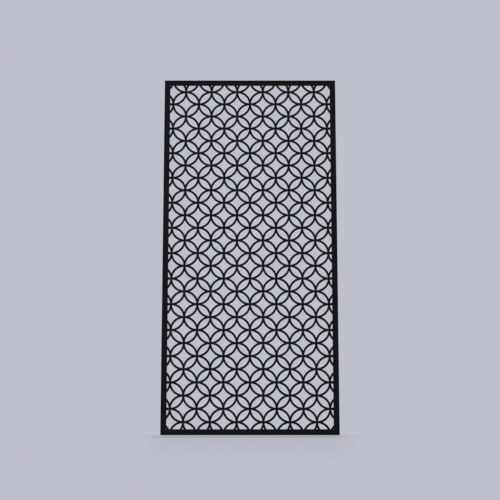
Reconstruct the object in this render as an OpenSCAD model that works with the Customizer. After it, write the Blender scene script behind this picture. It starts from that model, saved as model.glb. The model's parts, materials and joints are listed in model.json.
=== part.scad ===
// Laser cut metal screen: one flat sheet of interlocking rings with a plain margin,
// stiffened at the back by a bolted frame of small equal angles.
// Front faces -Y, +Z is up, the origin is the middle of the bottom edge.

/* [Panel] */
// overall width of the screen
panel_w = 1000; // [700:150:1300]
// overall height of the screen
panel_h = 2090; // [1490:150:2390]
// plain margin round the cut pattern
border_w = 33; // [28:1:35]
// sheet thickness
sheet_t = 3; // [2:0.5:4]

/* [Ring pattern] */
// radius of the ring centre lines
ring_r = 74.8; // [70:0.2:80]
// width of the metal band of a ring
band_w = 12.5; // [9:0.5:14]

/* [Rear frame] */
// leg of the equal angle
leg_w = 20; // [19:0.5:22]
// thickness of the angle
leg_t = 3; // [2:0.5:3.5]
// radius in the root of the angle
root_r = 1.2; // [0.6:0.2:1.4]

/* [Corner plates] */
// length of each arm along the outside
plate_arm = 90; // [88:1:110]
// width of each arm
plate_w = 14; // [13:0.5:14.5]
// thickness of the plate
plate_t = 3; // [2:0.5:3]
// gap between the plate and the standing leg of the angle
plate_gap = 1.7; // [1.5:0.1:2]

/* [Weld studs] */
// thread diameter
stud_d = 5; // [4:0.5:5]
// length from the back of the sheet
stud_len = 14; // [13:0.5:16]
// length of the taper at the free end
tip_len = 0.5; // [0.3:0.1:0.8]
// diameter of the free end
tip_d = 4; // [3.5:0.1:4]
// diameter of the welded foot
foot_d = 6.2; // [5.6:0.1:6.4]
// thickness of the welded foot
foot_t = 0.8; // [0.6:0.1:1]
// distance of the studs from the outer edge
stud_in = 11.7; // [11.5:0.1:12]
// distance of the outer corner stud from the end of its side
stud_end = 35; // [32:1:38]
// distance between the two studs of one plate arm
stud_pair = 40; // [36:1:44]
// equal spaces between the corner studs of the top and bottom sides
rail_spaces = 3; // [2:1:4]
// equal spaces between the corner studs of the left and right sides
stile_spaces = 7; // [5:1:9]
// clearance hole for a stud in angles and plates
stud_hole_d = 7; // [6.8:0.1:7.4]

/* [Nuts and washers] */
// washer outside diameter
washer_d = 10; // [9:0.5:10]
// gap between the washer hole and the thread, on the radius
washer_gap = 0.15; // [0.1:0.05:0.3]
// washer thickness
washer_t = 1; // [0.8:0.1:1.2]
// nut width across the flats
nut_af = 8; // [7.5:0.5:8]
// nut height
nut_t = 4; // [3.5:0.5:4]
// gap between the nut and the thread, on the radius
nut_gap = 0.05; // [0.03:0.01:0.1]
// chamfer at both ends of the nut thread
nut_bevel = 0.4; // [0.2:0.1:0.5]

/* [Fixing holes] */
// diameter of the holes for M6 screws in the standing legs
fix_d = 7; // [6.4:0.1:7.5]
// half the span of the two holes in the top and bottom sides
fix_rail = 350; // [340:5:360]
// half the span of the outer holes in the left and right sides
fix_outer = 800; // [780:5:820]
// half the span of the inner holes in the left and right sides
fix_inner = 300; // [290:5:310]

/* [Hidden] */

depth = sheet_t + leg_w;
front_y = -depth / 2;
back_y = front_y + sheet_t;
flange_y = back_y + leg_t;
half_w = panel_w / 2;
half_h = panel_h / 2;
win_w = half_w - border_w;
win_h = half_h - border_w;
cols = ceil(win_w / ring_r);
rows = ceil(win_h / ring_r);
outer_r = ring_r + band_w / 2;
inner_r = ring_r - band_w / 2;
star_reach = ring_r - sqrt(outer_r * outer_r - ring_r * ring_r);
cell = ring_r / 2;
fix_y = (flange_y + depth / 2) / 2;
arm_in = plate_gap + leg_t;
slack = 1;
wide_cut = 4 * leg_w;
ring_steps = 96;
round_steps = 48;
steel = [0.08, 0.08, 0.09];
zinc = [0.62, 0.63, 0.65];

// distances along a side, from its middle, of all studs on it
function runs(half, spaces) =
  let (last = half - stud_end - stud_pair)
  concat([-half + stud_end], [for (i = [0 : spaces]) -last + 2 * last * i / spaces],
         [half - stud_end]);
rail_runs = runs(half_w, rail_spaces);
stile_runs = runs(half_h, stile_spaces);

// a flat shape drawn in the X-Z plane, as seen from the front, with its front at y
module flat(y, t) {
  translate([0, y + t, 0]) rotate([90, 0, 0]) linear_extrude(t) children();
}

// the four-pointed opening at a ring centre
module star() {
  difference() {
    square(2 * ring_r, center = true);
    for (sx = [-1, 1], sz = [-1, 1])
      translate([sx * ring_r, sz * ring_r]) circle(r = outer_r, $fn = ring_steps);
  }
}

// the lens where two rings overlap
module petal(lean) {
  intersection() {
    translate([-cell, -lean * cell]) circle(r = inner_r, $fn = ring_steps);
    translate([cell, lean * cell]) circle(r = inner_r, $fn = ring_steps);
  }
}

// an opening at (x, z), cut off at the plain margin where it would run over it
module clipped(x, z, reach) {
  if (abs(x) + reach < win_w && abs(z) + reach < win_h) translate([x, z]) children();
  else if (abs(x) - reach < win_w && abs(z) - reach < win_h)
    intersection() {
      square([2 * win_w, 2 * win_h], center = true);
      translate([x, z]) children();
    }
}

module openings() {
  for (a = [-cols : cols], b = [-rows : rows])
    if ((a + b) % 2 != 0) clipped(a * ring_r, b * ring_r, star_reach) star();
  for (a = [-cols : cols - 1], b = [-rows : rows - 1])
    clipped(a * ring_r + cell, b * ring_r + cell, cell)
      petal((a + b) % 2 != 0 ? 1 : -1);
}

module laser_cut_sheet() {
  color(steel) translate([0, 0, half_h]) flat(front_y, sheet_t)
    difference() {
      square([panel_w, panel_h], center = true);
      openings();
    }
}

// section of the angle: x runs in from the outer edge, y from the sheet to the back
module angle_section() {
  difference() {
    union() {
      square([leg_w, leg_t]);
      square([leg_t, leg_w]);
      translate([leg_t - slack, leg_t - slack]) square(root_r + slack);
    }
    translate([leg_t + root_r, leg_t + root_r]) circle(r = root_r, $fn = round_steps);
  }
}

// one mitred angle lying along X with its outer edge on z = 0, on the back of the sheet
module angle_bar(half, studs, holes) {
  difference() {
    translate([-half, back_y, 0]) rotate([90, 0, 90]) linear_extrude(2 * half)
      mirror([1, -1]) angle_section();
    for (s = [-1, 1]) translate([s * half, 0, 0]) rotate([0, -s * 45, 0])
      translate([s * leg_w / 2, 0, 0]) cube([leg_w, wide_cut, wide_cut], center = true);
    for (x = studs) translate([x, back_y - slack, stud_in]) rotate([-90, 0, 0])
      cylinder(h = leg_t + 2 * slack, d = stud_hole_d, $fn = round_steps);
    for (x = holes) translate([x, fix_y, -slack])
      cylinder(h = leg_t + 2 * slack, d = fix_d, $fn = round_steps);
  }
}

// puts something drawn on the bottom side on another side of the screen
module on_bottom() { children(); }
module on_top() { translate([0, 0, panel_h]) mirror([0, 0, 1]) children(); }
module on_left() { translate([-half_w, 0, half_h]) rotate([0, 90, 0]) children(); }
module on_right() { translate([half_w, 0, half_h]) rotate([0, -90, 0]) children(); }

module bottom_rail() {
  color(steel) on_bottom() angle_bar(half_w, rail_runs, [-fix_rail, fix_rail]);
}
module top_rail() {
  color(steel) on_top() angle_bar(half_w, rail_runs, [-fix_rail, fix_rail]);
}
module left_stile() {
  color(steel) on_left()
    angle_bar(half_h, stile_runs, [-fix_outer, -fix_inner, fix_inner, fix_outer]);
}
module right_stile() {
  color(steel) on_right()
    angle_bar(half_h, stile_runs, [-fix_outer, -fix_inner, fix_inner, fix_outer]);
}

// corner plate at the side sx (left -1) and sz (bottom -1)
module corner_plate(sx, sz) {
  color(steel) translate([sx * half_w, 0, half_h + sz * half_h]) flat(flange_y, plate_t)
    scale([-sx, -sz]) difference() {
      union() {
        translate([arm_in, arm_in]) square([plate_arm, plate_w]);
        translate([arm_in, arm_in]) square([plate_w, plate_arm]);
      }
      for (d = [stud_end, stud_end + stud_pair]) {
        translate([d, stud_in]) circle(d = stud_hole_d, $fn = round_steps);
        translate([stud_in, d]) circle(d = stud_hole_d, $fn = round_steps);
      }
    }
}
module corner_plate_top_left() { corner_plate(-1, 1); }
module corner_plate_top_right() { corner_plate(1, 1); }
module corner_plate_bottom_left() { corner_plate(-1, -1); }
module corner_plate_bottom_right() { corner_plate(1, -1); }

// back face of what the washer at this place sits on: the plate, or the angle itself
function seat_y(x, half) =
  abs(x) > half - stud_end - stud_pair - slack ? flange_y + plate_t : flange_y;

module studs(runs) {
  color(zinc) for (x = runs) translate([x, back_y, stud_in]) rotate([-90, 0, 0]) {
    cylinder(h = foot_t, d = foot_d, $fn = round_steps);
    cylinder(h = stud_len - tip_len, d = stud_d, $fn = round_steps);
    translate([0, 0, stud_len - tip_len])
      cylinder(h = tip_len, d1 = stud_d, d2 = tip_d, $fn = round_steps);
  }
}
module washers(runs, half) {
  color(zinc) for (x = runs) translate([x, seat_y(x, half), stud_in]) rotate([-90, 0, 0])
    difference() {
      cylinder(h = washer_t, d = washer_d, $fn = round_steps);
      translate([0, 0, -slack])
        cylinder(h = washer_t + 2 * slack, d = stud_d + 2 * washer_gap, $fn = round_steps);
    }
}
module nuts(runs, half) {
  bore_r = stud_d / 2 + nut_gap;
  color(zinc) for (x = runs)
    translate([x, seat_y(x, half) + washer_t, stud_in]) rotate([-90, 0, 0])
      difference() {
        cylinder(h = nut_t, r = nut_af / 2 / cos(30), $fn = 6);
        translate([0, 0, -slack]) cylinder(h = nut_t + 2 * slack, r = bore_r, $fn = round_steps);
        cylinder(h = nut_bevel, r1 = bore_r + nut_bevel, r2 = bore_r, $fn = round_steps);
        translate([0, 0, nut_t - nut_bevel])
          cylinder(h = nut_bevel, r1 = bore_r, r2 = bore_r + nut_bevel, $fn = round_steps);
      }
}

module bottom_studs() { on_bottom() studs(rail_runs); }
module top_studs() { on_top() studs(rail_runs); }
module left_studs() { on_left() studs(stile_runs); }
module right_studs() { on_right() studs(stile_runs); }
module bottom_washers() { on_bottom() washers(rail_runs, half_w); }
module top_washers() { on_top() washers(rail_runs, half_w); }
module left_washers() { on_left() washers(stile_runs, half_h); }
module right_washers() { on_right() washers(stile_runs, half_h); }
module bottom_nuts() { on_bottom() nuts(rail_runs, half_w); }
module top_nuts() { on_top() nuts(rail_runs, half_w); }
module left_nuts() { on_left() nuts(stile_runs, half_h); }
module right_nuts() { on_right() nuts(stile_runs, half_h); }

laser_cut_sheet();
top_rail();
bottom_rail();
left_stile();
right_stile();
corner_plate_top_left();
corner_plate_top_right();
corner_plate_bottom_left();
corner_plate_bottom_right();
top_studs();
bottom_studs();
left_studs();
right_studs();
top_washers();
bottom_washers();
left_washers();
right_washers();
top_nuts();
bottom_nuts();
left_nuts();
right_nuts();
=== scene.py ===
import functools
import json
import math

import bmesh
import bpy
from bpy.props import FloatProperty, FloatVectorProperty, IntProperty, PointerProperty
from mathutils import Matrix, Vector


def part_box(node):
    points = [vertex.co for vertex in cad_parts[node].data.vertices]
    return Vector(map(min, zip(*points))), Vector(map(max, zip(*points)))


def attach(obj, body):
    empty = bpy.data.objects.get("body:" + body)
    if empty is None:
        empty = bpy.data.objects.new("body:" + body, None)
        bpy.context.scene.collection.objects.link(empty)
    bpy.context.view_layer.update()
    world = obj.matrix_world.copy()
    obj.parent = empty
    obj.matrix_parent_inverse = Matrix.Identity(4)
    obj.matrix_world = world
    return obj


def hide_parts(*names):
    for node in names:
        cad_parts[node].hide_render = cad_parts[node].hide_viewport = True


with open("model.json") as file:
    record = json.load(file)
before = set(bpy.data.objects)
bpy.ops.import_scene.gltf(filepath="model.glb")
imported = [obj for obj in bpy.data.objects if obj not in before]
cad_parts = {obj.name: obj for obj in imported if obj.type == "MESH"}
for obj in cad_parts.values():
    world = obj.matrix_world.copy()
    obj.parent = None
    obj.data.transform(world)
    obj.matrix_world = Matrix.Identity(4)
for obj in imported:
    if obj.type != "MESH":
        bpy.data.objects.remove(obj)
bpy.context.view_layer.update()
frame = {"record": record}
SHEET_LOW, SHEET_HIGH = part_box("laser_cut_sheet")

bl_info = {
    "name": "Laser cut metal screen",
    "version": (1, 0, 0),
    "blender": (4, 5, 0),
    "location": "3D View > Sidebar > Cut Screen",
    "description": "Builds a flat steel screen of interlocking rings and its rear frame",
    "category": "Add Mesh",
}

# the rails and stiles lie on the sides, and the corner plates on the corners
SIDES = ("top", "bottom", "left", "right")
RAIL_SIDES = SIDES[:2]
CORNERS = ("top_left", "top_right", "bottom_left", "bottom_right")

# points nearer to each other than this are one point
SAME_POINT = 0.000002
# how far a cutter runs past the face that it cuts
PAST = 0.001
# allowance for telling which studs of a side a corner plate lies on
PLATE_SLACK = 0.001
# a face of the sheet whose normal points less than this much forwards or backwards is a
# cut edge
CUT_EDGE_LEAN = 0.4
# edges that turn by less stay smooth, and corners that turn by more are broken
SMOOTH_TURN = math.radians(24)
CORNER_TURN = math.radians(60)
# turns that point a shape drawn upwards to the front or to the back
TO_FRONT = (math.pi / 2, 0, 0)
TO_BACK = (-math.pi / 2, 0, 0)

# straight steps round each turned or drilled shape
STEPS = {"drill": 40, "thread": 20, "foot": 28, "washer": 40, "nut": 48, "bore": 32}
# steps of the thread along one pitch, and the length that is tapered at its tip
PITCH_STEPS = 6.0
TIP_TAPER = 0.0006
# broken edge of a washer, and how far its hole's cutter runs past it and widens
WASHER_BREAK = 0.00012
WASHER_PAST = 0.0005
WASHER_FLARE = 0.0006
# nut: depth of the chamfer at its corners, and how far its cone runs past and draws in
NUT_CHAMFER = 0.0004
NUT_PAST = 0.0002
NUT_DRAW = 0.00105
# nut: depth and widening of the countersink at both ends of the bore
SINK_DEPTH = 0.0004
SINK_FLARE = 0.0008


# ---------------------------------------------------------------- settings


class SheetSizes(bpy.types.PropertyGroup):
    """Sizes of the laser cut sheet"""

    width: FloatProperty(name="Width", description="Overall width of the sheet",
                         default=SHEET_HIGH[0] - SHEET_LOW[0], min=0.3, unit="LENGTH")
    height: FloatProperty(name="Height", description="Overall height of the sheet",
                          default=SHEET_HIGH[2] - SHEET_LOW[2], min=0.3, unit="LENGTH")
    thickness: FloatProperty(name="Thickness", description="Thickness of the sheet",
                             default=SHEET_HIGH[1] - SHEET_LOW[1], min=0.001, unit="LENGTH")
    front: FloatProperty(name="Front", description="Place of the front face along Y",
                         default=SHEET_LOW[1], unit="LENGTH")
    margin: FloatProperty(name="Margin", description="Plain margin round the cut pattern",
                          default=0.033, min=0.005, unit="LENGTH")
    ring_radius: FloatProperty(name="Ring radius", description="Radius of the ring centre lines",
                               default=0.0748, min=0.02, unit="LENGTH")
    band: FloatProperty(name="Band", description="Width of the metal band of a ring",
                        default=0.0125, min=0.002, unit="LENGTH")
    edge_break: FloatProperty(name="Edge break", description="Chamfer left by deburring",
                              default=0.00035, min=0.0001, unit="LENGTH")
    arc_steps: IntProperty(name="Arc steps", description="Straight steps in a whole ring",
                           default=88, min=24, max=144)


class FrameSizes(bpy.types.PropertyGroup):
    """Sizes of the rear frame, its corner plates and its fasteners"""

    leg: FloatProperty(name="Leg", description="Leg of the equal angle",
                       default=0.02, unit="LENGTH")
    wall: FloatProperty(name="Wall", description="Thickness of the angle",
                        default=0.003, unit="LENGTH")
    root: FloatProperty(name="Root radius", description="Radius in the root of the angle",
                        default=0.0012, unit="LENGTH")
    toe: FloatProperty(name="Toe radius", description="Radius on the free edges of the angle",
                       default=0.0008, unit="LENGTH")
    mitre_gap: FloatProperty(name="Mitre gap", description="Half of the joint line at a mitre",
                             default=0.00012, unit="LENGTH")
    plate_arm: FloatProperty(name="Plate arm", description="Length of each corner plate arm",
                             default=0.09, unit="LENGTH")
    plate_width: FloatProperty(name="Plate width", description="Width of each plate arm",
                               default=0.014, unit="LENGTH")
    plate_wall: FloatProperty(name="Plate thickness", description="Thickness of the plates",
                              default=0.003, unit="LENGTH")
    plate_gap: FloatProperty(name="Plate gap", description="Plate to standing leg",
                             default=0.0017, unit="LENGTH")
    plate_heel: FloatProperty(name="Plate heel", description="Radius at the outer corner",
                              default=0.001, unit="LENGTH")
    plate_root: FloatProperty(name="Plate root", description="Radius at the inner corner",
                              default=0.002, unit="LENGTH")
    plate_nose: FloatProperty(name="Plate nose", description="Radius at the ends of the arms",
                              default=0.003, unit="LENGTH")
    stud_hole: FloatProperty(name="Stud hole", description="Diameter of the stud holes",
                             default=0.007, unit="LENGTH")
    fix_hole: FloatProperty(name="Fixing hole", description="Diameter of the fixing holes",
                            default=0.007, unit="LENGTH")
    fix_rail: FloatProperty(name="Rail holes", description="Half span of the rail holes",
                            default=0.35, unit="LENGTH")
    fix_outer: FloatProperty(name="Outer holes", description="Half span, outer stile holes",
                             default=0.8, unit="LENGTH")
    fix_inner: FloatProperty(name="Inner holes", description="Half span, inner stile holes",
                             default=0.3, unit="LENGTH")


class FastenerSizes(bpy.types.PropertyGroup):
    """Sizes and places of the weld studs, washers and nuts"""

    inset: FloatProperty(name="Inset", description="Studs to the outer edge",
                         default=0.0117, unit="LENGTH")
    end: FloatProperty(name="End", description="First stud to the end of its side",
                       default=0.035, unit="LENGTH")
    pair: FloatProperty(name="Pair", description="Between the two studs of a plate arm",
                        default=0.04, unit="LENGTH")
    rail_spaces: IntProperty(name="Rail spaces", description="Equal spaces, top and bottom",
                             default=3, min=1)
    stile_spaces: IntProperty(name="Stile spaces", description="Equal spaces, left and right",
                              default=7, min=1)
    stud: FloatProperty(name="Stud", description="Thread diameter", default=0.005,
                        unit="LENGTH")
    stud_length: FloatProperty(name="Stud length", description="From the back of the sheet",
                               default=0.014, unit="LENGTH")
    pitch: FloatProperty(name="Pitch", description="Pitch of the thread", default=0.0008,
                         unit="LENGTH")
    foot: FloatProperty(name="Foot", description="Diameter of the welded foot",
                        default=0.0062, unit="LENGTH")
    foot_wall: FloatProperty(name="Foot thickness", description="Thickness of the foot",
                             default=0.0008, unit="LENGTH")
    washer: FloatProperty(name="Washer", description="Outside diameter of a washer",
                          default=0.01, unit="LENGTH")
    washer_hole: FloatProperty(name="Washer hole", description="Hole of a washer",
                               default=0.0053, unit="LENGTH")
    washer_wall: FloatProperty(name="Washer thickness", description="Thickness of a washer",
                               default=0.001, unit="LENGTH")
    nut_flats: FloatProperty(name="Nut flats", description="Nut width across the flats",
                             default=0.008, unit="LENGTH")
    nut_height: FloatProperty(name="Nut height", description="Height of a nut",
                              default=0.004, unit="LENGTH")
    nut_bore: FloatProperty(name="Nut bore", description="Bore of a nut", default=0.0051,
                            unit="LENGTH")


class Finishes(bpy.types.PropertyGroup):
    """Colours of the object and of the studio"""

    coat: FloatVectorProperty(name="Powder coat", description="Black powder coat",
                              default=(0.0012, 0.0013, 0.0016), subtype="COLOR", size=3)
    zinc: FloatVectorProperty(name="Zinc", description="Zinc plated steel",
                              default=(0.6, 0.61, 0.63), subtype="COLOR", size=3)
    studio: FloatVectorProperty(name="Studio", description="Pale floor and backdrop",
                                default=(0.52, 0.53, 0.6), subtype="COLOR", size=3)


# ---------------------------------------------------------------- geometry trees


def built_once(shelf, name):
    """Marks the builder of a tree or material that is built when it is first asked for,
    under this name, and found again after that"""
    def marked(build):
        @functools.wraps(build)
        def ask(*given):
            return getattr(bpy.data, shelf).get(name) or build(name, *given)
        return ask
    return marked


def label(key):
    """The name that a keyword gets as a socket, such as Ring radius for ring_radius"""
    return key.replace("_", " ").capitalize()


class Nodes:
    """A node tree in the making: inputs given as sockets are linked, others are set"""

    def __init__(self, tree):
        self.tree = tree

    def add(self, kind, inputs=None, out=0, **settings):
        """Adds a node and gives the output socket asked for"""
        node = self.tree.nodes.new(kind)
        for key, value in settings.items():
            setattr(node, key, value)
        for key, value in (inputs or {}).items():
            for one in value if isinstance(value, list) else [value]:
                if isinstance(one, bpy.types.NodeSocket):
                    self.tree.links.new(one, node.inputs[key])
                else:
                    node.inputs[key].default_value = one
        return node.outputs[out]

    def math(self, operation, *values):
        return self.add("ShaderNodeMath", dict(enumerate(values)), operation=operation)

    def plus(self, one, other):
        return self.math("ADD", one, other)

    def minus(self, one, other):
        return self.math("SUBTRACT", one, other)

    def times(self, one, other):
        return self.math("MULTIPLY", one, other)

    def over(self, one, other):
        return self.math("DIVIDE", one, other)

    def size_of(self, value):
        """The value without its sign"""
        return self.math("ABSOLUTE", value)

    def split(self, vector):
        """The x, y and z sockets of a vector"""
        return tuple(self.add("ShaderNodeSeparateXYZ", {0: vector}).node.outputs)


class Tree(Nodes):
    """A geometry node tree with named inputs, for one modifier"""

    KINDS = {float: "NodeSocketFloat", int: "NodeSocketInt", tuple: "NodeSocketVector",
             "material": "NodeSocketMaterial"}

    def __init__(self, name, **inputs):
        super().__init__(bpy.data.node_groups.new(name, "GeometryNodeTree"))
        self.tree.is_modifier = True
        made = self.tree.interface.new_socket
        made("Shape", in_out="INPUT", socket_type="NodeSocketGeometry")
        for key, kind in inputs.items():
            made(label(key), in_out="INPUT", socket_type=self.KINDS[kind])
        made("Shape", in_out="OUTPUT", socket_type="NodeSocketGeometry")
        self.source = self.tree.nodes.new("NodeGroupInput")

    def get(self, name):
        """The socket of the tree's own input of this name"""
        return self.source.outputs[name]

    def where(self):
        """The x, y and z sockets of each point's position"""
        return self.split(self.add("GeometryNodeInputPosition"))

    def vector(self, x=0.0, y=0.0, z=0.0):
        return self.add("ShaderNodeCombineXYZ", {0: x, 1: y, 2: z})

    def place(self, shape, at=(0, 0, 0), turn=(0, 0, 0)):
        return self.add("GeometryNodeTransform",
                        {"Geometry": shape, "Translation": at, "Rotation": turn})

    def join(self, *shapes):
        return self.add("GeometryNodeJoinGeometry", {"Geometry": list(reversed(shapes))})

    def cut(self, body, *tools):
        return self.add("GeometryNodeMeshBoolean", {"Mesh 1": body, "Mesh 2": list(tools)},
                        operation="DIFFERENCE", solver="MANIFOLD")

    def common(self, *bodies):
        return self.add("GeometryNodeMeshBoolean", {"Mesh 2": list(bodies)},
                        operation="INTERSECT", solver="MANIFOLD")

    def repeat(self, points, shape, turn=None):
        """The shape at every point, made real"""
        inputs = {"Points": points, "Instance": shape}
        if turn is not None:
            inputs["Rotation"] = turn
        return self.add("GeometryNodeRealizeInstances",
                        {"Geometry": self.add("GeometryNodeInstanceOnPoints", inputs)})

    def line(self, count, start, end):
        """Points at equal spaces from start to end"""
        return self.add("GeometryNodeMeshLine",
                        {"Count": count, "Start Location": start, "Offset": end},
                        mode="END_POINTS")

    def through(self, wall, broken):
        """Levels of a cutter that goes through a wall and breaks both of its edges"""
        face = self.times(wall, 0.5)
        return wall, self.minus(face, broken), self.plus(face, PAST), self.plus(broken, PAST)

    def waisted(self, shape, wall, inner, outer, grow, radius=None):
        """Moves the four levels of a prism as high as the wall: two to the inner height
        and two to the outer height, where it also grows outwards. A cut with it gets a
        broken edge, and so does a solid where grow is negative."""
        x, y, z = self.where()
        far = self.math("GREATER_THAN", self.size_of(z), self.times(wall, 0.25))
        level = self.plus(inner, self.times(far, self.minus(outer, inner)))
        up = self.times(self.math("SIGN", z), level)
        more = self.times(far, grow)
        if radius is None:
            x = self.plus(x, self.times(self.math("SIGN", x), more))
            y = self.plus(y, self.times(self.math("SIGN", y), more))
        else:
            share = self.plus(1.0, self.over(more, radius))
            x, y = self.times(x, share), self.times(y, share)
        return self.add("GeometryNodeSetPosition",
                        {"Geometry": shape, "Position": self.vector(x, y, up)})

    def disc(self, steps, radius, wall, inner, outer, grow):
        """A round prism with its levels moved"""
        rod = self.add("GeometryNodeMeshCylinder",
                       {"Vertices": steps, "Side Segments": 3, "Radius": radius,
                        "Depth": wall})
        return self.waisted(rod, wall, inner, outer, grow, radius)

    def slab(self, width, height, wall, inner, outer, grow):
        """A rectangular prism with its levels moved"""
        box = self.add("GeometryNodeMeshCube",
                       {"Size": self.vector(width, height, wall), "Vertices Z": 4})
        return self.waisted(box, wall, inner, outer, grow)

    def end(self, shape, material=None):
        """Ends the tree with this shape, made real, and closes it at shared points"""
        shape = self.add("GeometryNodeRealizeInstances", {"Geometry": shape})
        shape = self.add("GeometryNodeMergeByDistance", {"Geometry": shape,
                                                         "Distance": SAME_POINT})
        if material is not None:
            shape = self.add("GeometryNodeSetMaterial",
                             {"Geometry": shape, "Material": material})
        out = self.tree.nodes.new("NodeGroupOutput")
        self.tree.links.new(shape, out.inputs[0])
        return self.tree


@built_once("node_groups", "Ring lattice")
def ring_lattice_tree(name):
    """A plate cut by a star at each ring centre and a petal where two rings overlap"""
    t = Tree(name, width=float, height=float, thickness=float, front=float, margin=float,
             ring_radius=float, band=float, edge_break=float, columns=int, rows=int,
             arc_steps=int, material="material")
    radius, steps = t.get("Ring radius"), t.get("Arc steps")
    half_band = t.times(t.get("Band"), 0.5)
    wall, inner, outer, spread = t.through(t.get("Thickness"), t.get("Edge break"))
    narrow = t.times(spread, -1.0)
    side = t.times(radius, 2.0)

    # star: a square less four discs, one at each of its corners
    post = t.disc(steps, t.plus(radius, half_band), wall, inner, outer, narrow)
    back = t.times(radius, -1.0)
    posts = [t.place(post, t.vector(x, y)) for x in (radius, back) for y in (radius, back)]
    block = t.add("GeometryNodeMeshCube", {"Size": t.vector(side, side, t.plus(wall, PAST))})
    star = t.cut(block, *posts)

    # petal: the part that two neighbouring discs share
    hole = t.disc(steps, t.minus(radius, half_band), wall, inner, outer, spread)
    cell, away = t.times(radius, 0.5), t.times(radius, -0.5)
    petal = t.common(t.place(hole, t.vector(cell, cell)), t.place(hole, t.vector(away, away)))

    def even():
        """1 at the points whose radii across and up add up to an even number"""
        x, y, _ = t.where()
        total = t.math("ROUND", t.over(t.plus(x, y), radius))
        return t.math("LESS_THAN", t.math("FLOORED_MODULO", total, 2.0), 0.5)

    def grid(across, up):
        """Points one radius apart, this many spaces across and up"""
        return t.add("GeometryNodeMeshGrid", {
            "Size X": t.times(radius, across), "Size Y": t.times(radius, up),
            "Vertices X": t.plus(across, 1.0), "Vertices Y": t.plus(up, 1.0)})

    across, up = t.times(t.get("Columns"), 2.0), t.times(t.get("Rows"), 2.0)
    centres = t.add("GeometryNodeDeleteGeometry",
                    {"Geometry": grid(across, up), "Selection": even()}, domain="POINT")
    stars = t.repeat(centres, star)
    quarter = t.times(t.minus(1.0, even()), math.pi / 2)
    petals = t.repeat(grid(t.minus(across, 1.0), t.minus(up, 1.0)), petal,
                      t.add("FunctionNodeEulerToRotation", {0: t.vector(z=quarter)}))

    plain = t.times(t.get("Margin"), 2.0)
    window = t.slab(t.minus(t.get("Width"), plain), t.minus(t.get("Height"), plain),
                    wall, inner, t.plus(outer, PAST), t.plus(spread, PAST))
    openings = t.common(t.join(stars, petals), window)
    outline = t.slab(t.get("Width"), t.get("Height"), wall, inner, outer, narrow)
    # the plate is drawn in half cells, so that no face of the cut sheet has a hole in it
    plate = t.add("GeometryNodeMeshCube", {
        "Size": t.vector(t.times(radius, across), t.times(radius, up), wall),
        "Vertices X": t.plus(across, 1.0), "Vertices Y": t.plus(up, 1.0)})
    plate = t.add("GeometryNodeTriangulate", {"Mesh": plate}, quad_method="FIXED")
    sheet = t.cut(t.common(plate, outline), openings)

    _, _, facing = t.split(t.add("GeometryNodeInputNormal"))
    sheet = t.add("GeometryNodeStoreNamedAttribute", {
        "Geometry": sheet, "Name": "cut_edge",
        "Value": t.math("LESS_THAN", t.size_of(facing), CUT_EDGE_LEAN)},
        data_type="FLOAT", domain="FACE")
    middle = t.vector(0.0, t.plus(t.get("Front"), t.times(wall, 0.5)),
                      t.times(t.get("Height"), 0.5))
    return t.end(t.place(sheet, middle, TO_FRONT), t.get("Material"))


# inputs of every tree that draws the studs of a side, and of every tree drawn on the
# bottom side and taken to another
LINE_INPUTS = dict(half_length=float, end=float, pair=float, spaces=int, inset=float,
                   seat=float, plate=float)
PLACE_INPUTS = dict(turn=float, place=tuple, material="material")


@built_once("node_groups", "Stud line")
def stud_line_tree(name):
    """Points of all studs on one side, drawn for the bottom side from its middle"""
    t = Tree(name, **LINE_INPUTS)
    first = t.minus(t.get("Half length"), t.get("End"))
    last = t.minus(first, t.get("Pair"))
    middle = t.line(t.plus(t.get("Spaces"), 1.0), t.vector(t.times(last, -1.0)),
                    t.vector(last))
    ends = t.line(2, t.vector(t.times(first, -1.0)), t.vector(first))
    x, _, _ = t.where()
    on_plate = t.math("GREATER_THAN", t.size_of(x), t.minus(last, PLATE_SLACK))
    y = t.plus(t.get("Seat"), t.times(on_plate, t.get("Plate")))
    return t.end(t.add("GeometryNodeSetPosition", {
        "Geometry": t.join(middle, ends), "Position": t.vector(x, y, t.get("Inset"))}))


def on_studs(t, shape):
    """The shape at every stud of the side that tree t is for"""
    fed = {label(key): t.get(label(key)) for key in LINE_INPUTS}
    return t.repeat(t.add("GeometryNodeGroup", fed, node_tree=stud_line_tree()), shape)


def side_end(t, shape):
    """Takes a shape drawn on the bottom side to its own side, and ends the tree"""
    turn = t.vector(0.0, t.get("Turn"), 0.0)
    moved = t.place(shape, t.get("Place"), t.add("FunctionNodeEulerToRotation", {0: turn}))
    return t.end(moved, t.get("Material"))


@built_once("node_groups", "Drilled angle")
def drilled_angle_tree(name):
    """Drills the stud holes and the fixing holes into an angle"""
    t = Tree(name, **LINE_INPUTS, wall=float, stud_hole=float, fix_hole=float,
             fix_depth=float, outer_holes=float, inner_holes=float, inner_count=int,
             edge_break=float, **PLACE_INPUTS)
    levels = t.through(t.get("Wall"), t.get("Edge break"))
    stud_drill, fixing_drill = (
        t.disc(STEPS["drill"], t.times(t.get(hole), 0.5), *levels)
        for hole in ("Stud hole", "Fix hole"))
    stud_holes = on_studs(t, t.place(stud_drill, turn=TO_FRONT))
    depth, middle = t.get("Fix depth"), t.times(t.get("Wall"), 0.5)

    def holes(count, half):
        """Fixing holes at equal spaces, over this far to both sides of the middle"""
        ends = [t.vector(x, depth, middle) for x in (t.times(half, -1.0), half)]
        return t.repeat(t.line(count, *ends), fixing_drill)

    fixings = [holes(2, t.get("Outer holes")),
               holes(t.get("Inner count"), t.get("Inner holes"))]
    return side_end(t, t.cut(t.get("Shape"), t.join(stud_holes, *fixings)))


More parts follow.
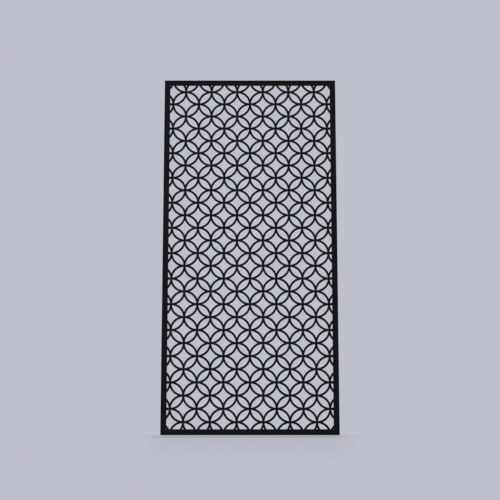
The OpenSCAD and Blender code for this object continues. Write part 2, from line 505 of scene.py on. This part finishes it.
@built_once("node_groups", "Drilled corner plate")
def drilled_plate_tree(name):
    """Drills the four stud holes into an L-shaped corner plate"""
    t = Tree(name, end=float, pair=float, inset=float, seat=float, wall=float,
             stud_hole=float, edge_break=float, **PLACE_INPUTS)
    wall, inset, near = t.get("Wall"), t.get("Inset"), t.get("End")
    drill = t.disc(STEPS["drill"], t.times(t.get("Stud hole"), 0.5),
                   *t.through(wall, t.get("Edge break")))
    drill = t.place(drill, turn=TO_FRONT)
    y, far = t.plus(t.get("Seat"), t.times(wall, 0.5)), t.plus(near, t.get("Pair"))
    holes = t.join(
        t.repeat(t.line(2, t.vector(near, y, inset), t.vector(far, y, inset)), drill),
        t.repeat(t.line(2, t.vector(inset, y, near), t.vector(inset, y, far)), drill))
    return side_end(t, t.cut(t.get("Shape"), holes))


@built_once("node_groups", "Weld studs")
def weld_stud_tree(name):
    """Threaded studs with a welded foot, standing on the back of the sheet"""
    t = Tree(name, **LINE_INPUTS, diameter=float, length=float, pitch=float, foot=float,
             foot_wall=float, **PLACE_INPUTS)
    radius, length, pitch = t.times(t.get("Diameter"), 0.5), t.get("Length"), t.get("Pitch")
    rod = t.add("GeometryNodeMeshCylinder", {
        "Vertices": STEPS["thread"], "Radius": radius, "Depth": length,
        "Side Segments": t.times(t.over(length, pitch), PITCH_STEPS)})

    # how far round and up the thread each point lies gives the depth of its groove
    x, y, z = t.where()
    turn = t.over(t.math("ARCTAN2", y, x), 2 * math.pi)
    phase = t.math("FLOORED_MODULO", t.minus(t.over(z, pitch), turn), 1.0)
    notch = t.minus(1.0, t.times(2.0, t.size_of(t.minus(phase, 0.5))))
    deep = t.times(t.times(pitch, 0.5), notch)
    tip = t.minus(t.times(length, 0.5), TIP_TAPER)
    taper = t.math("MAXIMUM", 0.0, t.minus(z, tip))
    share = t.over(t.minus(radius, t.math("MAXIMUM", deep, taper)), radius)
    thread = t.add("GeometryNodeSetPosition", {
        "Geometry": rod, "Position": t.vector(t.times(x, share), t.times(y, share), z)})
    thread = t.place(thread, t.vector(z=t.times(length, 0.5)))

    half_foot = t.times(t.get("Foot wall"), 0.5)
    foot = t.disc(STEPS["foot"], t.times(t.get("Foot"), 0.5), t.get("Foot wall"),
                  t.times(half_foot, 0.5), half_foot, t.times(half_foot, -0.5))
    stud = t.join(thread, t.place(foot, t.vector(z=half_foot)))
    return side_end(t, on_studs(t, t.place(stud, turn=TO_BACK)))


@built_once("node_groups", "Flat washers")
def washer_tree(name):
    """Flat washers with their edges broken"""
    t = Tree(name, **LINE_INPUTS, diameter=float, hole=float, wall=float, **PLACE_INPUTS)
    wall = t.get("Wall")
    face = t.times(wall, 0.5)
    inner = t.minus(face, WASHER_BREAK)
    body = t.disc(STEPS["washer"], t.times(t.get("Diameter"), 0.5), wall, inner, face,
                  -WASHER_BREAK)
    hole = t.disc(STEPS["bore"], t.times(t.get("Hole"), 0.5), wall, inner,
                  t.plus(face, WASHER_PAST), WASHER_FLARE)
    washer = t.place(t.cut(body, hole), t.vector(y=face), TO_BACK)
    return side_end(t, on_studs(t, washer))


@built_once("node_groups", "Hexagon nuts")
def nut_tree(name):
    """Hexagon nuts with chamfered corners and a countersunk bore"""
    t = Tree(name, **LINE_INPUTS, flats=float, height=float, bore=float, **PLACE_INPUTS)
    height = t.get("Height")
    face = t.times(height, 0.5)
    corner = t.times(t.get("Flats"), 0.5 / math.cos(math.pi / 6))
    hexagon = t.add("GeometryNodeMeshCylinder",
                    {"Vertices": 6, "Radius": corner, "Depth": height})
    turned = t.disc(STEPS["nut"], corner, height, t.minus(face, NUT_CHAMFER),
                    t.plus(face, NUT_PAST), -NUT_DRAW)
    bore = t.disc(STEPS["bore"], t.times(t.get("Bore"), 0.5), height,
                  t.minus(face, SINK_DEPTH), t.plus(face, SINK_DEPTH), SINK_FLARE)
    nut = t.place(t.cut(t.common(hexagon, turned), bore), t.vector(y=face), TO_BACK)
    return side_end(t, on_studs(t, nut))


# ---------------------------------------------------------------- materials


class Paint(Nodes):
    """The nodes of a material, or of the world"""

    def __init__(self, name, shelf="materials", output="ShaderNodeOutputMaterial"):
        self.owner, self.output = getattr(bpy.data, shelf).new(name), output
        self.owner.use_nodes = True
        super().__init__(self.owner.node_tree)
        self.tree.nodes.clear()

    @functools.cached_property
    def where(self):
        """Object coordinates"""
        return self.add("ShaderNodeTexCoord", out="Object")

    def noise(self, scale, detail, stretch=None):
        where = self.where
        if stretch:
            where = self.add("ShaderNodeMapping", {"Vector": where, "Scale": stretch})
        return self.add("ShaderNodeTexNoise", {"Vector": where, "Scale": scale,
                                               "Detail": detail, "Roughness": 0.5})

    def between(self, amount, low, high):
        """Spreads a noise, whose values lie about the middle, from low to high"""
        return self.add("ShaderNodeMapRange", {"Value": amount, "From Min": 0.25,
                                               "From Max": 0.75, "To Min": low,
                                               "To Max": high})

    def fade(self, value, start, end, top=1.0, curve="SMOOTHSTEP"):
        """0 at start, rising in a smooth curve to top at end"""
        return self.add("ShaderNodeMapRange", {"Value": value, "From Min": start,
                                               "From Max": end, "To Max": top},
                        interpolation_type=curve)

    def bump(self, height, strength, distance, under=None):
        """A bump, on top of another one if that is given"""
        inputs = {"Height": height, "Strength": strength, "Distance": distance}
        if under is not None:
            inputs["Normal"] = under
        return self.add("ShaderNodeBump", inputs, out="Normal")

    def blend(self, share, one, other):
        """A mix of two colours"""
        return self.add("ShaderNodeMix", {0: share, 6: one, 7: other}, out=2,
                        data_type="RGBA")

    def seen(self):
        """1 for what is looked at straight, in a gloss or through glass, else 0"""
        ray = self.add("ShaderNodeLightPath").node.outputs
        shown = self.math("MAXIMUM", ray["Is Camera Ray"], ray["Is Glossy Ray"])
        return self.math("MAXIMUM", shown, ray["Is Transmission Ray"])

    def end(self, shader):
        """Ends the nodes with this shader, and gives what they are the nodes of"""
        out = self.tree.nodes.new(self.output)
        self.tree.links.new(shader, out.inputs["Surface"])
        return self.owner


def shaded(colour, share):
    """A colour made darker or lighter, with the alpha that a node wants"""
    return tuple(c * share for c in colour) + (1,)


@built_once("materials", "black powder coat")
def powder_coat(name, colour):
    """Matt black powder coat: fine orange peel, faint mottling and a ribbed cut edge"""
    p = Paint(name)
    mottle = p.noise(scale=9.0, detail=3.0)
    peel = p.noise(scale=620.0, detail=2.0)
    grain = p.noise(scale=2600.0, detail=1.0)
    ribs = p.noise(scale=1500.0, detail=1.0, stretch=(1.0, 0.06, 1.0))
    cut = p.add("ShaderNodeAttribute", out="Fac", attribute_name="cut_edge")
    base = p.blend(p.between(mottle, 0.0, 1.0), shaded(colour, 0.88), shaded(colour, 1.12))
    rough = p.plus(p.between(peel, 0.44, 0.56), p.between(mottle, -0.03, 0.03))
    normal = p.bump(peel, strength=0.7, distance=0.00016)
    normal = p.bump(grain, strength=0.5, distance=0.00006, under=normal)
    normal = p.bump(p.times(ribs, cut), strength=0.5, distance=0.00005, under=normal)
    return p.end(p.add("ShaderNodeBsdfPrincipled", {
        "Base Color": base, "Roughness": rough, "Normal": normal,
        "Specular IOR Level": 0.17}))


@built_once("materials", "zinc plate")
def zinc_plate(name, colour):
    """Bright zinc plated steel, slightly clouded"""
    p = Paint(name)
    cloud = p.noise(scale=160.0, detail=3.0)
    base = p.add("ShaderNodeValToRGB", {"Fac": cloud}, out="Color")
    stops = base.node.color_ramp.elements
    for stop, position, share in zip(stops, (0.3, 0.7), (0.86, 1.06)):
        stop.position, stop.color = position, shaded(colour, share)
    normal = p.bump(p.noise(scale=3000.0, detail=1.0), strength=0.2, distance=0.00001)
    return p.end(p.add("ShaderNodeBsdfPrincipled", {
        "Base Color": base, "Metallic": 1.0, "Roughness": p.between(cloud, 0.24, 0.38),
        "Normal": normal}))


# ---------------------------------------------------------------- making pieces


def settings():
    """The sizes of the sheet, frame and fasteners, and the finishes"""
    s = bpy.context.scene
    return s.screen_sheet, s.screen_frame, s.screen_fasteners, s.screen_finishes


def rounded(corners, steps=4):
    """A closed outline with a radius at each corner, given as (x, y, radius)"""
    out = []
    for i, (x, y, radius) in enumerate(corners):
        if not radius:
            out.append((x, y))
            continue
        ways = []
        for other in (corners[i - 1], corners[(i + 1) % len(corners)]):
            dx, dy = other[0] - x, other[1] - y
            size = math.hypot(dx, dy)
            ways.append((dx / size, dy / size))
        (ax, ay), (bx, by) = ways
        cx, cy = x + (ax + bx) * radius, y + (ay + by) * radius
        start = math.atan2(-by, -bx)
        sweep = math.atan2(-ay, -ax) - start
        sweep = (sweep + math.pi) % (2 * math.pi) - math.pi
        out += [(cx + radius * math.cos(start + sweep * k / steps),
                 cy + radius * math.sin(start + sweep * k / steps))
                for k in range(steps + 1)]
    return out


def prism(outline, near, far, corner_of, broken=0.0):
    """A closed mesh between two copies of an outline, with its corners broken if asked;
    corner_of gives the place of each point of the outline at a level"""
    b = bmesh.new()
    ends = [[b.verts.new(corner_of(u, v, level)) for u, v in outline]
            for level in (near, far)]
    count = len(outline)
    for i in range(count):
        j = (i + 1) % count
        b.faces.new((ends[0][i], ends[0][j], ends[1][j], ends[1][i]))
    b.faces.new(ends[0])
    b.faces.new(ends[1])
    bmesh.ops.recalc_face_normals(b, faces=b.faces)
    if broken:
        b.normal_update()
        sharp = [e for e in b.edges if e.calc_face_angle(0.0) > CORNER_TURN]
        bmesh.ops.bevel(b, geom=sharp, offset=broken, segments=1, affect="EDGES",
                        profile=0.5)
    mesh = bpy.data.meshes.new("prism")
    b.to_mesh(mesh)
    b.free()
    return mesh


def finished(name, node, tree, inputs, start=None):
    """Runs a tree on a mesh and leaves a plain piece, in place of this node's solids"""
    piece = bpy.data.objects.new(name, start or bpy.data.meshes.new(name))
    bpy.context.scene.collection.objects.link(piece)
    run = piece.modifiers.new("shape", "NODES")
    run.node_group = tree
    for socket in tree.interface.items_tree:
        if socket.in_out == "INPUT" and socket.name in inputs:
            run[socket.identifier] = inputs[socket.name]
    graph = bpy.context.evaluated_depsgraph_get()
    made = bpy.data.meshes.new_from_object(piece.evaluated_get(graph),
                                           preserve_all_data_layers=True, depsgraph=graph)
    piece.modifiers.clear()
    if not made.polygons:
        raise RuntimeError(name + " came out empty")
    piece.data = made
    made.name = name
    for face in made.polygons:
        face.use_smooth = True
    made.set_sharp_from_angle(angle=SMOOTH_TURN)
    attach(piece, "root")
    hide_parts(node)
    return piece


def side_inputs(side, seat, plate=0.0):
    """Inputs that draw a side's studs from this seat, or on the corner plates this much
    further back, and take them from the bottom side to their own"""
    sheet, _, fasteners, _ = settings()
    w, h = sheet.width / 2, sheet.height
    turn, place, half = {
        "bottom": (0.0, (0.0, 0.0, 0.0), w), "top": (math.pi, (0.0, 0.0, h), w),
        "left": (math.pi / 2, (-w, 0.0, h / 2), h / 2),
        "right": (-math.pi / 2, (w, 0.0, h / 2), h / 2)}[side]
    spaces = fasteners.rail_spaces if side in RAIL_SIDES else fasteners.stile_spaces
    return {"Half length": half, "End": fasteners.end, "Pair": fasteners.pair,
            "Spaces": spaces, "Inset": fasteners.inset, "Seat": seat, "Plate": plate,
            "Turn": turn, "Place": place}


def fasten(piece, nodes, tree, seat, plate, sizes):
    """Makes one kind of fastener, as one piece for each side"""
    *_, finishes = settings()
    zinc = zinc_plate(finishes.zinc)
    for side in SIDES:
        finished(piece + side, side + nodes, tree,
                 {**side_inputs(side, seat, plate), **sizes, "Material": zinc})


class MakeSheet(bpy.types.Operator):
    """Make the laser cut sheet with its lattice of interlocking rings"""

    bl_idname = "cut_screen.sheet"
    bl_label = "Laser cut sheet"

    def execute(self, context):
        sheet, _, _, finishes = settings()
        columns, rows = (math.ceil((size / 2 - sheet.margin) / sheet.ring_radius)
                         for size in (sheet.width, sheet.height))
        finished("lattice_sheet", "laser_cut_sheet", ring_lattice_tree(), {
            "Width": sheet.width, "Height": sheet.height, "Thickness": sheet.thickness,
            "Front": sheet.front, "Margin": sheet.margin, "Ring radius": sheet.ring_radius,
            "Band": sheet.band, "Edge break": sheet.edge_break, "Columns": columns,
            "Rows": rows, "Arc steps": sheet.arc_steps,
            "Material": powder_coat(finishes.coat)})
        return {"FINISHED"}


class MakeAngles(bpy.types.Operator):
    """Make the four mitred angles of the rear frame, drilled for studs and fixings"""

    bl_idname = "cut_screen.angles"
    bl_label = "Rear frame angles"

    def execute(self, context):
        sheet, angle, _, finishes = settings()
        back = sheet.front + sheet.thickness
        leg, wall, toe = angle.leg, angle.wall, angle.toe
        section = rounded([(0.0, 0.0, toe), (leg, 0.0, 0.0), (leg, wall, toe),
                           (wall, wall, angle.root), (wall, leg, toe), (0.0, leg, 0.0)])
        for side in SIDES:
            rail = side in RAIL_SIDES
            node = side + ("_rail" if rail else "_stile")
            inputs = side_inputs(side, back + wall / 2)
            half = inputs["Half length"] - angle.mitre_gap
            bar = prism(section, -1, 1, lambda u, v, end, half=half:
                        (end * (half - u), back + v, u))
            finished(node + "_angle", node, drilled_angle_tree(), {
                **inputs, "Wall": wall, "Stud hole": angle.stud_hole,
                "Fix hole": angle.fix_hole, "Fix depth": back + (wall + leg) / 2,
                "Outer holes": angle.fix_rail if rail else angle.fix_outer,
                "Inner holes": angle.fix_inner, "Inner count": 0 if rail else 2,
                "Edge break": sheet.edge_break,
                "Material": powder_coat(finishes.coat)}, bar)
        return {"FINISHED"}


class MakePlates(bpy.types.Operator):
    """Make the four L-shaped plates that tie the mitred corners together"""

    bl_idname = "cut_screen.plates"
    bl_label = "Corner plates"

    def execute(self, context):
        sheet, angle, fasteners, finishes = settings()
        seat = sheet.front + sheet.thickness + angle.wall
        low = angle.wall + angle.plate_gap
        arm, wide = low + angle.plate_arm, low + angle.plate_width
        heel, root, nose = angle.plate_heel, angle.plate_root, angle.plate_nose
        outline = rounded([(low, low, heel), (arm, low, nose), (arm, wide, nose),
                           (wide, wide, root), (wide, arm, nose), (low, arm, nose)])
        w, h = sheet.width / 2, sheet.height
        places = {"bottom_left": (0.0, (-w, 0.0, 0.0)),
                  "bottom_right": (-math.pi / 2, (w, 0.0, 0.0)),
                  "top_right": (math.pi, (w, 0.0, h)),
                  "top_left": (math.pi / 2, (-w, 0.0, h))}
        for corner in CORNERS:
            turn, place = places[corner]
            blank = prism(outline, seat, seat + angle.plate_wall,
                          lambda u, v, level: (u, level, v), sheet.edge_break)
            finished("plate_" + corner, "corner_plate_" + corner,
                     drilled_plate_tree(), {
                         "End": fasteners.end, "Pair": fasteners.pair,
                         "Inset": fasteners.inset, "Seat": seat, "Wall": angle.plate_wall,
                         "Stud hole": angle.stud_hole, "Edge break": sheet.edge_break,
                         "Turn": turn, "Place": place,
                         "Material": powder_coat(finishes.coat)}, blank)
        return {"FINISHED"}


class MakeStuds(bpy.types.Operator):
    """Make the threaded weld studs on the back of the sheet"""

    bl_idname = "cut_screen.studs"
    bl_label = "Weld studs"

    def execute(self, context):
        sheet, _, fasteners, _ = settings()
        fasten("weld_studs_", "_studs", weld_stud_tree(), sheet.front + sheet.thickness, 0.0,
               {"Diameter": fasteners.stud, "Length": fasteners.stud_length,
                "Pitch": fasteners.pitch, "Foot": fasteners.foot,
                "Foot wall": fasteners.foot_wall})
        return {"FINISHED"}


class MakeWashers(bpy.types.Operator):
    """Make the flat washers on the studs"""

    bl_idname = "cut_screen.washers"
    bl_label = "Flat washers"

    def execute(self, context):
        sheet, angle, fasteners, _ = settings()
        seat = sheet.front + sheet.thickness + angle.wall
        fasten("flat_washers_", "_washers", washer_tree(), seat, angle.plate_wall,
               {"Diameter": fasteners.washer, "Hole": fasteners.washer_hole,
                "Wall": fasteners.washer_wall})
        return {"FINISHED"}


class MakeNuts(bpy.types.Operator):
    """Make the hexagon nuts on the studs"""

    bl_idname = "cut_screen.nuts"
    bl_label = "Hexagon nuts"

    def execute(self, context):
        sheet, angle, fasteners, _ = settings()
        seat = sheet.front + sheet.thickness + angle.wall + fasteners.washer_wall
        fasten("hex_nuts_", "_nuts", nut_tree(), seat, angle.plate_wall,
               {"Flats": fasteners.nut_flats, "Height": fasteners.nut_height,
                "Bore": fasteners.nut_bore})
        return {"FINISHED"}


# ---------------------------------------------------------------- stage

# the camera stands low before the screen and looks up along its middle
LENS, SENSOR = 119.45, 36.0
EYE_AWAY, EYE_HEIGHT, EYE_TILT = 9.212, -1.251, math.radians(14.1)
SIGHT = 200.0

# the floor reaches this far each way, and fades into the backdrop between two distances
FLOOR_REACH = 60.0
FLOOR_FADE = (1.6, 7.0)

# the apron carries the floor on below the low camera's line of sight: its reach and half
# width, how far before the screen its painted contact shadow and its wider painted shade
# begin and how dark each grows, and where both end to the left and right
APRON_REACH, APRON_WIDE = 7.0, 9.0
CONTACT_SHADOW_START, CONTACT_SHADOW_DARK = 0.25, 0.14
SHADE_START, SHADE_DARK = 1.6, 0.1
SHADE_SIDES = (0.66, 0.42)

# even light from all round, and two softboxes of this size that are turned to one point
SKY, SKY_STRENGTH = (0.96, 0.98, 1.0, 1.0), 0.62
BOX_SIZE, BOX_AIM = 2.6, (0, 0, 1.1)
KEY_PLACE, KEY_POWER = (-5.2, -3.3, 4.0), 165
BACK_PLACE, BACK_POWER = (3.2, 4.4, 3.9), 120


def flat_quad(name, corners, material):
    """A flat piece of the stage"""
    mesh = bpy.data.meshes.new(name)
    mesh.from_pydata(corners, [], [(0, 1, 2, 3)])
    mesh.materials.append(material)
    quad = bpy.data.objects.new(name, mesh)
    bpy.context.scene.collection.objects.link(quad)


def floor_paint(studio):
    """Pale floor with soft shadows near the object that fades into the backdrop, and
    that a camera below it sees through"""
    p = Paint("studio floor")
    plain = p.add("ShaderNodeBsdfDiffuse", {"Color": studio})
    glow = p.add("ShaderNodeEmission", {"Color": studio, "Strength": 1.0})
    away = p.add("ShaderNodeVectorMath", {0: p.where}, out="Value", operation="LENGTH")
    lit = p.add("ShaderNodeMixShader", {0: p.times(p.fade(away, *FLOOR_FADE), p.seen()),
                                        1: plain, 2: glow})
    ray = p.add("ShaderNodeLightPath", out="Is Camera Ray")
    under = p.add("ShaderNodeNewGeometry", out="Backfacing")
    clear = p.add("ShaderNodeBsdfTransparent")
    return p.end(p.add("ShaderNodeMixShader", {0: p.times(ray, under), 1: lit, 2: clear}))


def apron_paint(studio, front):
    """The floor as the low camera sees it before the screen, with a painted contact shadow
    and a wider painted shade where the bottom edge stands on it"""
    p = Paint("studio apron")
    x, y, _ = p.split(p.where)
    # painted contact shadow and wider painted shade: the glow grows darker towards the screen's
    # bottom edge and fades out to the sides
    line = p.fade(y, -CONTACT_SHADOW_START, front, CONTACT_SHADOW_DARK, "SMOOTHERSTEP")
    shade = p.fade(y, -SHADE_START, front, SHADE_DARK)
    painted_shade = p.times(p.plus(line, shade), p.fade(p.size_of(x), *SHADE_SIDES))
    return p.end(p.add("ShaderNodeEmission", {"Color": studio,
                                              "Strength": p.minus(1.0, painted_shade)}))


def studio_world(studio):
    """Even soft light, and the pale backdrop for what is seen directly or in a gloss"""
    p = Paint("studio", "worlds", "ShaderNodeOutputWorld")
    light = p.add("ShaderNodeBackground", {"Color": SKY, "Strength": SKY_STRENGTH})
    pale = p.add("ShaderNodeBackground", {"Color": studio, "Strength": 1.0})
    return p.end(p.add("ShaderNodeMixShader", {0: p.seen(), 1: light, 2: pale}))


def softbox(name, place, power):
    """A square lamp turned to the middle of the screen"""
    lamp = bpy.data.lights.new(name, "AREA")
    lamp.shape, lamp.size, lamp.energy = "SQUARE", BOX_SIZE, power
    box = bpy.data.objects.new(name, lamp)
    box.location = place
    x, y, z = (a - b for a, b in zip(BOX_AIM, place))
    box.rotation_euler = (math.pi / 2 + math.atan2(z, math.hypot(x, y)), 0,
                          math.atan2(y, x) - math.pi / 2)
    bpy.context.scene.collection.objects.link(box)


class MakeStage(bpy.types.Operator):
    """Make the floor, the backdrop, the lights and the camera"""

    bl_idname = "cut_screen.stage"
    bl_label = "Stage"

    def execute(self, context):
        sheet, _, _, finishes = settings()
        studio, front = shaded(finishes.studio, 1.0), sheet.front
        reach, near, wide = FLOOR_REACH, front - APRON_REACH, APRON_WIDE
        flat_quad("floor", [(-reach, -reach, 0), (reach, -reach, 0), (reach, reach, 0),
                            (-reach, reach, 0)], floor_paint(studio))
        down = -APRON_REACH * math.tan(EYE_TILT)
        flat_quad("apron", [(-wide, near, down), (wide, near, down), (wide, front, 0),
                            (-wide, front, 0)], apron_paint(studio, front))
        context.scene.world = studio_world(studio)
        softbox("key softbox", KEY_PLACE, KEY_POWER)
        softbox("back softbox", BACK_PLACE, BACK_POWER)
        camera = bpy.data.cameras.new("camera")
        camera.lens, camera.sensor_width, camera.clip_end = LENS, SENSOR, SIGHT
        eye = bpy.data.objects.new("camera", camera)
        eye.location = (0.0, front - EYE_AWAY, EYE_HEIGHT)
        eye.rotation_euler = (math.pi / 2 + EYE_TILT, 0.0, 0.0)
        context.scene.collection.objects.link(eye)
        context.scene.camera = eye
        context.scene.view_settings.view_transform = "Standard"
        return {"FINISHED"}


class ScreenPanel(bpy.types.Panel):
    """Lists the sizes and the pieces of the screen"""

    bl_idname = "VIEW3D_PT_cut_screen"
    bl_label = "Cut Screen"
    bl_space_type = "VIEW_3D"
    bl_region_type = "UI"
    bl_category = "Cut Screen"

    def draw(self, context):
        self.layout.label(text=frame["record"]["type"])
        for group in settings():
            box = self.layout.box()
            for name in group.__annotations__:
                box.prop(group, name)
        for maker in MAKERS:
            self.layout.operator(maker.bl_idname)


GROUPS = {"screen_sheet": SheetSizes, "screen_frame": FrameSizes,
          "screen_fasteners": FastenerSizes, "screen_finishes": Finishes}
MAKERS = (MakeSheet, MakeAngles, MakePlates, MakeStuds, MakeWashers, MakeNuts, MakeStage)


def register():
    for made in (*GROUPS.values(), *MAKERS, ScreenPanel):
        bpy.utils.register_class(made)
    for name, group in GROUPS.items():
        setattr(bpy.types.Scene, name, PointerProperty(type=group))


def unregister():
    for name in GROUPS:
        delattr(bpy.types.Scene, name)
    for made in reversed((*GROUPS.values(), *MAKERS, ScreenPanel)):
        bpy.utils.unregister_class(made)


def main():
    register()
    ops = bpy.ops.cut_screen
    for make in (ops.sheet, ops.angles, ops.plates, ops.studs, ops.washers, ops.nuts,
                 ops.stage):
        make()


if __name__ == "__main__":
    main()
